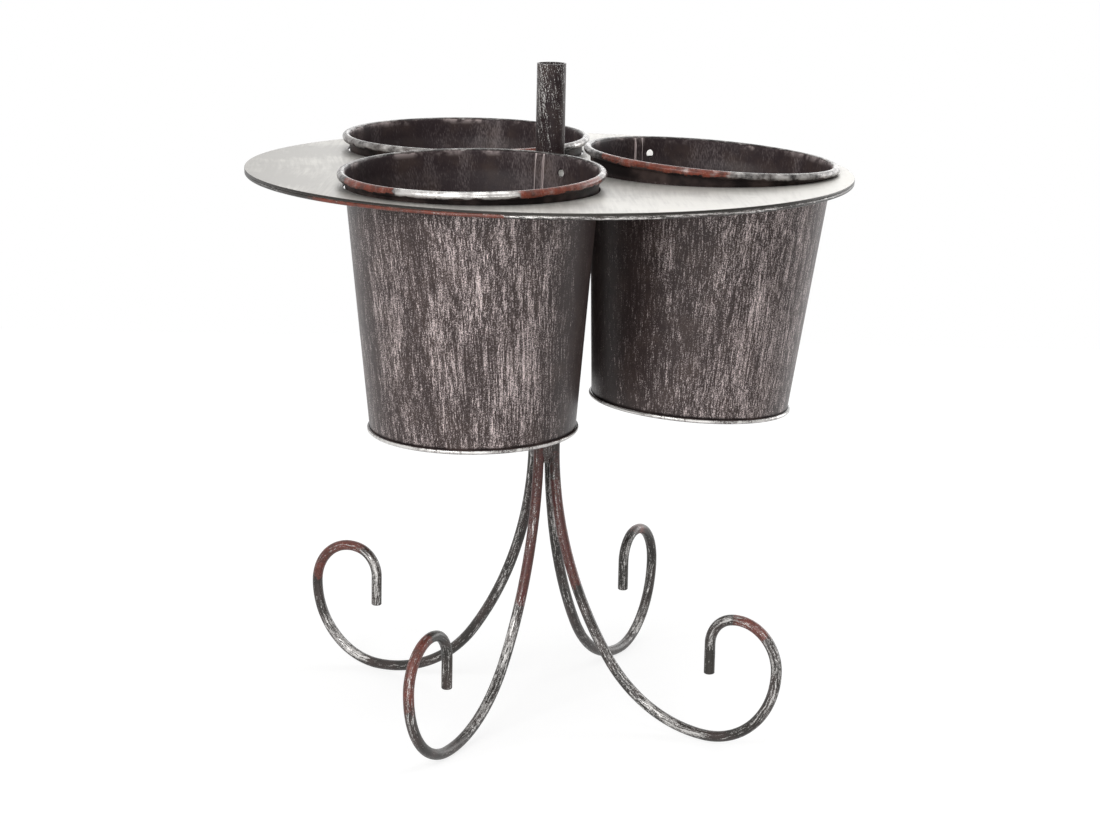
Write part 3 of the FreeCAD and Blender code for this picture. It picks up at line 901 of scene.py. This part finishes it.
def base_profile():
    """The bottom's section: recessed disc, rolled seam round the wall's foot."""
    seam_radius = CRIMP_HEIGHT / 2
    seam_middle = FOOT_RADIUS - seam_radius
    points = list(BASE_UNDERSIDE)
    for step in range(CRIMP_STEPS + 1):
        turn = -math.pi / 2 + math.pi * step / CRIMP_STEPS
        radius = seam_middle + seam_radius * math.cos(turn)
        points.append((radius, seam_radius + seam_radius * math.sin(turn)))
    points += BASE_INSIDE
    return np.array(points)


def make_base(pot, material):
    """A pot's bottom, turned from its section."""
    profile = base_profile()
    angles = np.linspace(0, FULL_TURN, BASE_SIDES, endpoint=False)
    height = np.repeat(profile[None, :, 1], len(angles), 0)
    points = turned_points(profile[None, :, 0], height, angles)
    faces = grid_faces(len(angles), len(profile), True, False)
    faces.append(tuple(range(0, len(points), len(profile))))
    faces.append(tuple(reversed(range(len(profile) - 1, len(points), len(profile)))))
    add_piece(
        pot + "_bottom", points, faces, material, pot, pot + "_base",
        pot_matrix(pot), BASE_SHARP_ANGLE,
    )


# Legs

def leg_line():
    """The leg's centre line as rows of (outward, height, heading, length so far)."""
    weld_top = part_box("hub_weld")[1].z
    outward, height, heading, length = LEG_START_RADIUS, weld_top, -math.pi / 2, 0.0
    rows = [(outward, height, heading, length)]

    def straight(distance, steps):
        nonlocal height, length
        for _ in range(steps):
            height -= distance / steps
            length += distance / steps
            rows.append((outward, height, heading, length))

    straight(LEG_TOP_LENGTH, LEG_TOP_STEPS)
    for radius, turn in LEG_BENDS:
        steps = max(LEG_LEAST_STEPS, int(radius * math.radians(turn) / LEG_STEP))
        for _ in range(steps):
            step = math.radians(turn) / steps
            outward += radius * (math.sin(heading + step) - math.sin(heading))
            height += radius * (math.cos(heading) - math.cos(heading + step))
            heading += step
            length += radius * step
            rows.append((outward, height, heading, length))
    straight(LEG_TIP_LENGTH - LEG_TIP_CHAMFER, LEG_TIP_STEPS)
    return rows


def rod_shake(count, seed):
    """Smooth random values along a rod, as bent by hand."""
    spare = LEG_SHAKE_SPAN - 1
    raw = np.random.default_rng(seed).normal(0, 1, count + 2 * spare)
    return np.convolve(raw, np.ones(LEG_SHAKE_SPAN) / LEG_SHAKE_SPAN, "same")[spare:-spare]


def make_leg(name, seed, material):
    """One scroll leg: a round rod, faintly uneven, with a sawn tip."""
    rows = leg_line()
    azimuth = math.radians(LEG_AZIMUTH[name])
    radial = np.array((math.cos(azimuth), math.sin(azimuth), 0.0))
    side = np.array((-math.sin(azimuth), math.cos(azimuth), 0.0))
    points, places = [], []

    def ring(outward, height, heading, length, rod):
        centre = radial * outward + np.array((0, 0, height))
        normal = radial * -math.sin(heading) + np.array((0, 0, math.cos(heading)))
        for k in range(ROD_SIDES):
            turn = FULL_TURN * k / ROD_SIDES
            points.append(centre + rod * (math.cos(turn) * normal + math.sin(turn) * side))
            places.append((rod * math.cos(turn), rod * math.sin(turn), length))

    for row, shake in zip(rows, rod_shake(len(rows), seed)):
        ring(*row, ROD_RADIUS - abs(shake) * LEG_SHAKE)
    outward, height, heading, length = rows[-1]
    ring(outward, height - LEG_TIP_CHAMFER, heading, length + LEG_TIP_CHAMFER, ROD_RADIUS - LEG_TIP_CHAMFER)
    count = len(rows) + 1
    faces = grid_faces(count, ROD_SIDES, False, True)
    faces.append(tuple(range(ROD_SIDES)))
    faces.append(tuple(reversed(range((count - 1) * ROD_SIDES, count * ROD_SIDES))))
    faces = [tuple(reversed(face)) for face in faces]
    piece = add_piece(name + "_rod", points, faces, material, "stand", name)
    set_places(piece, places)


# Tray and ring

def make_tray(material):
    """The tray's sheet with its holes, its edges slightly rounded."""
    low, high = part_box("tray")
    curve = bpy.data.curves.new("tray_outline", "CURVE")
    curve.dimensions = "2D"
    curve.fill_mode = "BOTH"
    curve.resolution_u = TRAY_CURVE_STEPS
    curve.extrude = TRAY_SHEET / 2 - TRAY_EDGE
    curve.bevel_depth = TRAY_EDGE
    curve.bevel_resolution = TRAY_EDGE_STEPS
    curve.offset = -TRAY_EDGE
    add_circle(curve, 0.0, 0.0, TRAY_RADIUS)
    for pot in POTS:
        azimuth = math.radians(POT_AZIMUTH[pot])
        x, y = POT_RING_RADIUS * math.cos(azimuth), POT_RING_RADIUS * math.sin(azimuth)
        add_circle(curve, x, y, TRAY_HOLE_RADIUS)
    add_circle(curve, 0.0, 0.0, STUD_HOLE_RADIUS)
    outline = bpy.data.objects.new("tray_outline", curve)
    bpy.context.scene.collection.objects.link(outline)
    mesh = baked_mesh(outline)
    bpy.data.objects.remove(outline)
    mesh.polygons.foreach_set("use_smooth", [abs(face.normal.z) < FLAT_NORMAL for face in mesh.polygons])
    mesh.materials.clear()
    mesh.materials.append(material)
    piece = bpy.data.objects.new("tray_sheet", mesh)
    bpy.context.scene.collection.objects.link(piece)
    piece.location = (0, 0, (low.z + high.z) / 2)
    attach(piece, "stand")
    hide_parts("tray")


def add_circle(curve, x, y, radius):
    """A round closed spline of four arcs."""
    spline = curve.splines.new("BEZIER")
    spline.bezier_points.add(3)
    spline.use_cyclic_u = True
    handle = radius * 4 * (math.sqrt(2) - 1) / 3
    for index, point in enumerate(spline.bezier_points):
        turn = index * math.pi / 2
        centre = Vector((x + radius * math.cos(turn), y + radius * math.sin(turn), 0))
        along = Vector((-math.sin(turn), math.cos(turn), 0)) * handle
        point.co = centre
        point.handle_left_type = "FREE"
        point.handle_right_type = "FREE"
        point.handle_left = centre - along
        point.handle_right = centre + along


def make_ring(material):
    """The wire ring under the tray's edge, slightly wavy, with a burr at its butt joint."""
    low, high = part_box("tray_edge_ring")
    middle = (low.z + high.z) / 2
    angles = np.linspace(0, FULL_TURN, RING_COUNT, endpoint=False)
    near = np.exp(-((turn_away(angles, RING_JOINT) * TRAY_RADIUS / RING_BURR_WIDTH) ** 2))
    wavy = 1 - RING_WAVE_SHARE - RING_WAVE_SHARE * soft_wave(angles, RING_WAVE_SEED, RING_WAVE_LOBES)
    rod = RING_RADIUS * wavy * (1 + RING_BURR_SHARE * near)
    points, places = [], []
    for angle, size in zip(angles, rod):
        for k in range(RING_SIDES):
            turn = FULL_TURN * k / RING_SIDES
            reach = TRAY_RADIUS - RING_RADIUS + size * math.cos(turn)
            points.append((reach * math.cos(angle), reach * math.sin(angle), middle + size * math.sin(turn)))
            places.append((size * math.cos(turn), size * math.sin(turn), angle * TRAY_RADIUS))
    faces = grid_faces(RING_COUNT, RING_SIDES, True, True)
    piece = add_piece("tray_ring_wire", points, faces, material, "stand", "tray_edge_ring")
    set_places(piece, places)


# Dressing

def dress_cad_nodes():
    """Materials for the CAD meshes that stay."""
    post = post_paint()
    weld = weld_paint()
    bare = steel()
    choices = {"lower_post": post, "upper_post": post, "tray_flange": post, "hub_weld": weld}
    for name, node in frame["nodes"].items():
        node.data.materials.clear()
        node.data.materials.append(choices.get(name, bare))


def dress_pots():
    base = base_paint()
    for index, pot in enumerate(POTS):
        seed = index + 1.0
        make_wall(pot, seed, pot_paint(pot, seed))
        make_base(pot, base)


def dress_stand():
    for seed, name in enumerate(LEG_AZIMUTH):
        silvers = stops(LEG_SILVER[name], LEG_LENGTH)
        coppers = stops(LEG_COPPER[name], LEG_LENGTH)
        reds = (BURGUNDY, LEG_RED)
        paint = rod_paint("antique_" + name, seed + 0.5, LEG_LENGTH * MM, silvers, coppers, reds)
        make_leg(name, seed, paint)
    make_tray(tray_paint())
    silvers = stops(RING_SILVER, DEGREES)
    coppers = stops(RING_COPPER, DEGREES)
    length = FULL_TURN * TRAY_RADIUS
    paint = rod_paint("antique_ring", RING_PAINT_SEED, length, silvers, coppers, (COPPER, COPPER))
    make_ring(paint)


# Stage

def seen_directly(nodes, links):
    """One for the camera's rays and for rays through gloss or glass, which show the backdrop too."""
    path = nodes.new("ShaderNodeLightPath")
    share = path.outputs["Is Camera Ray"]
    for kind in ("Is Glossy Ray", "Is Transmission Ray"):
        larger = nodes.new("ShaderNodeMath")
        larger.operation = "MAXIMUM"
        links.new(share, larger.inputs[0])
        links.new(path.outputs[kind], larger.inputs[1])
        share = larger.outputs[0]
    return share


def mix_seen(nodes, links, others, seen, output):
    """Sends one shader to rays that see it directly, and another to the rest."""
    mix = nodes.new("ShaderNodeMixShader")
    links.new(seen_directly(nodes, links), mix.inputs[0])
    links.new(others.outputs[0], mix.inputs[1])
    links.new(seen.outputs[0], mix.inputs[2])
    links.new(mix.outputs[0], nodes.new(output).inputs[0])


def make_world():
    """White surroundings for the eye and for gloss, plain light for the rest."""
    world = bpy.data.worlds.new("studio")
    bpy.context.scene.world = world
    world.use_nodes = True
    nodes, links = world.node_tree.nodes, world.node_tree.links
    nodes.clear()
    white = nodes.new("ShaderNodeBackground")
    white.inputs["Color"].default_value = WORLD_WHITE
    white.inputs["Strength"].default_value = 1.0
    plain = nodes.new("ShaderNodeBackground")
    plain.inputs["Color"].default_value = WORLD_PLAIN
    plain.inputs["Strength"].default_value = WORLD_LIGHT
    mix_seen(nodes, links, plain, white, "ShaderNodeOutputWorld")


def floor_material():
    """Pale to other rays, white to the eye and to gloss, with the shadow kept."""
    material = bpy.data.materials.new("floor")
    material.use_nodes = True
    nodes, links = material.node_tree.nodes, material.node_tree.links
    nodes.clear()
    pale = nodes.new("ShaderNodeBsdfDiffuse")
    pale.inputs["Color"].default_value = FLOOR_PALE
    shaded = nodes.new("ShaderNodeBsdfDiffuse")
    shaded.inputs["Color"].default_value = FLOOR_SHADED
    glow = nodes.new("ShaderNodeEmission")
    glow.inputs["Strength"].default_value = FLOOR_GLOW
    white = nodes.new("ShaderNodeAddShader")
    links.new(shaded.outputs[0], white.inputs[0])
    links.new(glow.outputs[0], white.inputs[1])
    mix_seen(nodes, links, pale, white, "ShaderNodeOutputMaterial")
    return material


def make_floor():
    """A plain pale floor."""
    corners = [(x * FLOOR_REACH, y * FLOOR_REACH, 0) for x, y in ((-1, -1), (1, -1), (1, 1), (-1, 1))]
    mesh = bpy.data.meshes.new("floor")
    mesh.from_pydata(corners, [], [(0, 1, 2, 3)])
    mesh.materials.append(floor_material())
    floor = bpy.data.objects.new("floor", mesh)
    bpy.context.scene.collection.objects.link(floor)
    floor.location.z = -FLOOR_DROP


def add_lamp(name, place, target, width, height, power):
    """A soft lamp aimed at a point."""
    data = bpy.data.lights.new(name, "AREA")
    data.shape = "RECTANGLE"
    data.size = width
    data.size_y = height
    data.energy = power
    lamp = bpy.data.objects.new(name, data)
    bpy.context.scene.collection.objects.link(lamp)
    lamp.location = place
    lamp.rotation_euler = (Vector(target) - Vector(place)).to_track_quat("-Z", "Y").to_euler()


def make_camera():
    """The photo's viewpoint, found by fitting the tray, rims and leg tips."""
    forward = Vector((0, math.cos(CAMERA_PITCH), -math.sin(CAMERA_PITCH)))
    right = Vector((1, 0, 0))
    up = right.cross(forward)
    rolled_right = right * math.cos(CAMERA_ROLL) + up * math.sin(CAMERA_ROLL)
    rolled_up = up * math.cos(CAMERA_ROLL) - right * math.sin(CAMERA_ROLL)
    data = bpy.data.cameras.new("camera")
    data.sensor_width = SENSOR_WIDTH
    data.lens = FOCAL_PIXELS * SENSOR_WIDTH / PHOTO_WIDTH_PIXELS
    data.clip_start = CAMERA_CLIP
    camera = bpy.data.objects.new("camera", data)
    bpy.context.scene.collection.objects.link(camera)
    rotation = Matrix((rolled_right, rolled_up, -forward)).transposed().to_4x4()
    camera.matrix_world = Matrix.Translation(CAMERA_PLACE) @ rotation
    bpy.context.scene.camera = camera


bpy.context.scene.view_settings.view_transform = "Standard"
dress_cad_nodes()
dress_pots()
dress_stand()
make_world()
make_floor()
for lamp in LAMPS:
    add_lamp(*lamp)
make_camera()
